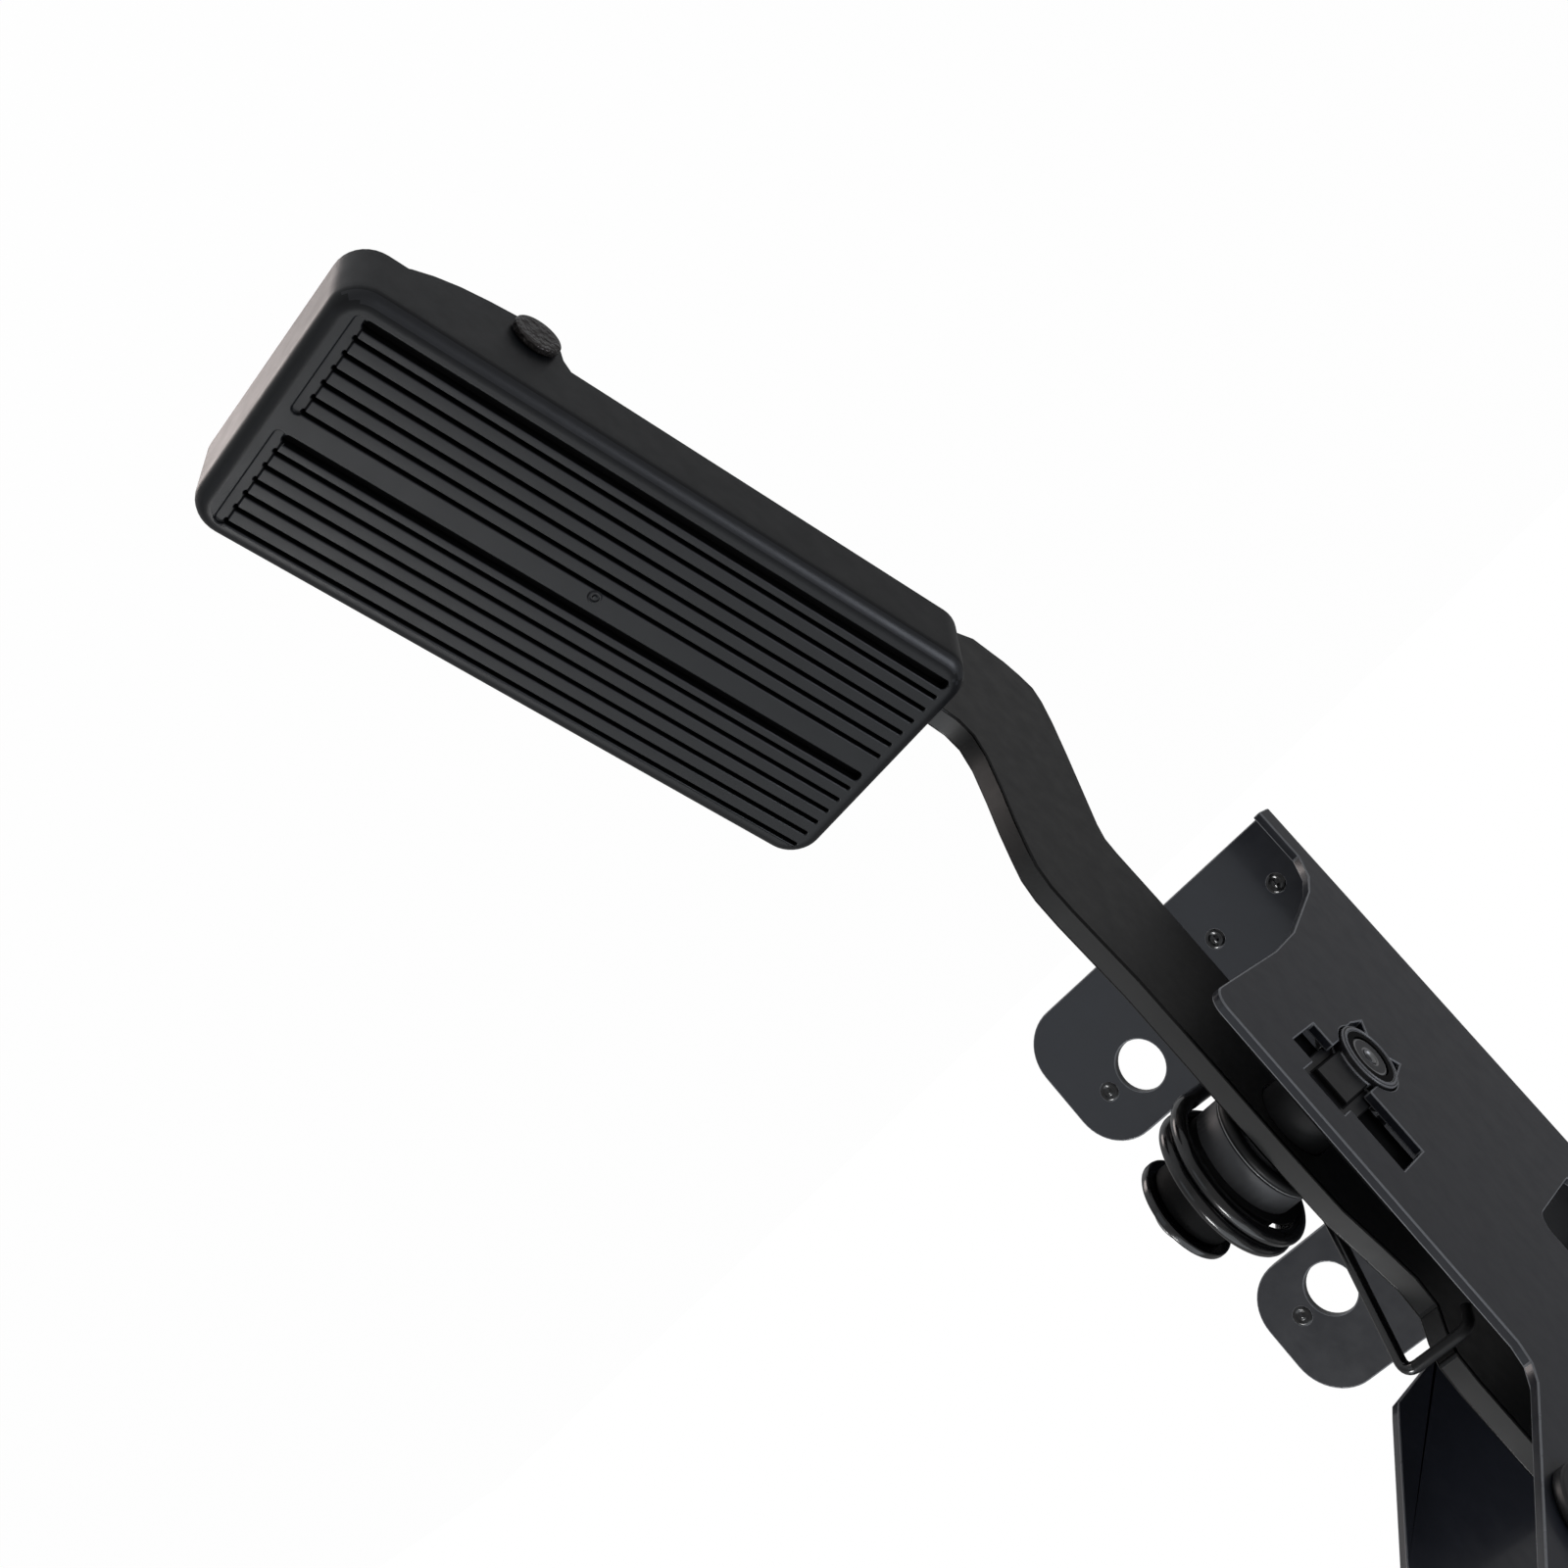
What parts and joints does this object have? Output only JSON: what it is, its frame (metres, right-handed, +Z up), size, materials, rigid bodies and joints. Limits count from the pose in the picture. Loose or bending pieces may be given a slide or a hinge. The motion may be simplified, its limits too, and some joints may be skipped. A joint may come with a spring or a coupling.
{
  "type": "accelerator pedal",
  "caption": "Hanging accelerator pedal: a ribbed foot pad hinged on a steel arm that turns on a shaft in a folded mounting bracket, with coiled return springs and a cable eye.",
  "frame": {"origin": "middle of the two mounting holes, on the back face of the bracket's base plate", "axes": "+X across the vehicle from the tall side wall to the mounting ears, +Y away from the driver, +Z up"},
  "size_m": [0.0859, 0.166, 0.3168],
  "materials": {
    "black_enamel": "gloss electrophoretic black",
    "arm_enamel": "satin black",
    "pad_plastic": "satin moulded black with fine lengthwise ribs",
    "black_plastic": "smooth black",
    "sleeve_plastic": "natural nylon",
    "spring_steel": "oiled black spring wire",
    "bare_steel": "dull grey",
    "pin_steel": "dark phosphated",
    "rubber_black": "matte"
  },
  "bodies": {
    "mount_frame": {"bracket": "black_enamel", "wall_bush": "black_plastic", "pivot_shaft": "bare_steel", "shaft_washer": "black_plastic", "shaft_clip": "bare_steel", "inner_spring": "spring_steel", "outer_spring": "spring_steel", "stop_post": "bare_steel", "rest_stop": "rubber_black", "wall_grommet": "black_plastic"},
    "lever": {"arm": "arm_enamel", "hub_tube": "arm_enamel", "near_sleeve": "sleeve_plastic", "far_sleeve": "sleeve_plastic", "spool": "black_plastic", "cable_grommet": "black_plastic"},
    "foot_pad": {"pad": "pad_plastic", "pad_pin": "pin_steel", "pad_pin_clip": "bare_steel", "pad_spring": "spring_steel"}
  },
  "joints": [
    {"name": "pedal_pivot", "type": "hinge", "parent": "mount_frame", "child": "lever", "pos_m": [0, -0.055, -0.0015], "axis": [1, 0, 0], "range_deg": [0, 20], "stiffness_Nm_per_rad": 1.2, "springref_deg": -34.38, "deforming": ["inner_spring", "outer_spring"]},
    {"name": "pad_hinge", "type": "hinge", "parent": "lever", "child": "foot_pad", "pos_m": [0, -0.12697, -0.19495], "axis": [1, 0, 0], "range_deg": [0, 12], "stiffness_Nm_per_rad": 0.3, "springref_deg": -34.38, "deforming": ["pad_spring"]}
  ]
}
